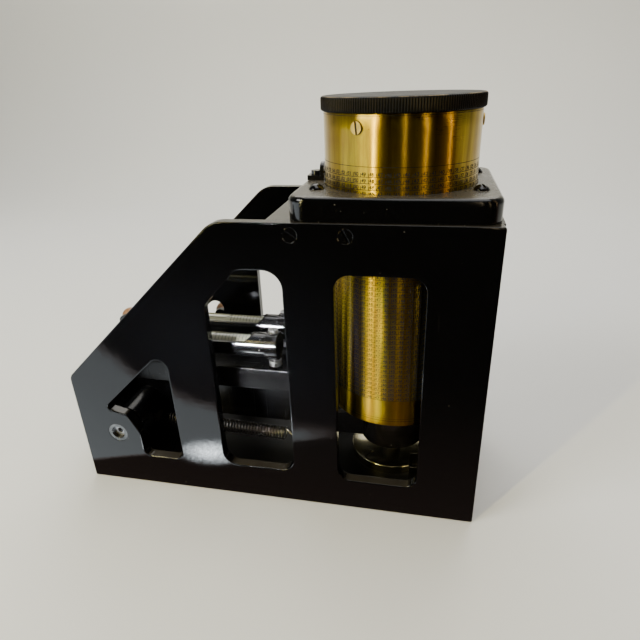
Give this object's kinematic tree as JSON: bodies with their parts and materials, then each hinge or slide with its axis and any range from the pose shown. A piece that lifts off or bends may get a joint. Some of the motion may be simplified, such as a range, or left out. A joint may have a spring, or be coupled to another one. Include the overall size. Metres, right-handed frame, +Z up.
{
  "type": "micrometer drum clinometer",
  "caption": "Free-standing black enamelled open frame with a tall graduated brass micrometer drum that raises and lowers a pivoted arm carrying spirit levels.",
  "frame": {"origin": "middle of the underside of the base plate, on the surface the instrument stands on", "axes": "+Z up along the drum axis, +X along the frame towards the drum end, +Y from the front side plate towards the rear side plate"},
  "size_m": [0.2547, 0.1044, 0.2141],
  "materials": {
    "black_enamel": "gloss",
    "black_fittings": "gloss",
    "knurled_black_brass": "satin",
    "lacquered_brass": "satin",
    "brass": "satin",
    "nickel": "satin",
    "steel": "satin",
    "vial_glass": "gloss",
    "hardwood": "satin"
  },
  "bodies": {
    "frame": {"base_plate": "black_enamel", "front_side_plate": "black_enamel", "rear_side_plate": "black_enamel", "end_plate": "black_enamel", "toe_plate": "black_enamel", "top_deck": "black_enamel", "drum_housing": "black_enamel", "frame_dowels": "steel", "deck_screws": "black_fittings", "housing_screws": "black_fittings", "index_bracket": "black_fittings", "index_screw": "black_fittings", "lead_screw": "steel", "column_flange": "nickel", "flange_screws": "nickel", "flange_clamp": "nickel", "clamp_screw": "nickel", "front_bush": "nickel", "rear_bush": "nickel", "spring_post": "steel"},
    "carriage": {"thrust_sleeve": "black_fittings"},
    "drum": {"drum_tube": "lacquered_brass", "drum_cap": "knurled_black_brass", "cap_screws": "brass", "drum_hub": "brass"},
    "arm": {"arm_casting": "black_enamel", "pivot_shaft": "steel", "cam_plates": "steel", "cam_rivets": "steel", "level_tubes": "black_fittings", "level_caps": "black_fittings", "level_vials": "vial_glass", "level_studs": "steel", "capstan_nuts": "steel", "spring_pin": "steel", "return_spring": "steel", "setting_lever": "black_fittings", "lever_knobs": "hardwood", "lever_nut": "brass"}
  },
  "joints": [
    {"name": "carriage_lift", "type": "slide", "parent": "frame", "child": "carriage", "axis": [0, 0, 1], "range_m": [-0.00553, 0.08847]},
    {"name": "drum_spin", "type": "hinge", "parent": "carriage", "child": "drum", "pos_m": [0.0671, 0, 0.13], "axis": [0, 0, 1], "range_deg": [-720, 11520]},
    {"name": "arm_tilt", "type": "hinge", "parent": "frame", "child": "arm", "pos_m": [-0.0913, 0, 0.0352], "axis": [0, -1, 0], "range_deg": [-2, 32], "deforming": ["return_spring"]}
  ],
  "couplings": [
    {"joint": "carriage_lift", "follows": "drum_spin", "m_per_rad": 0.00044},
    {"joint": "arm_tilt", "follows": "drum_spin", "ratio": 0.0027778}
  ]
}
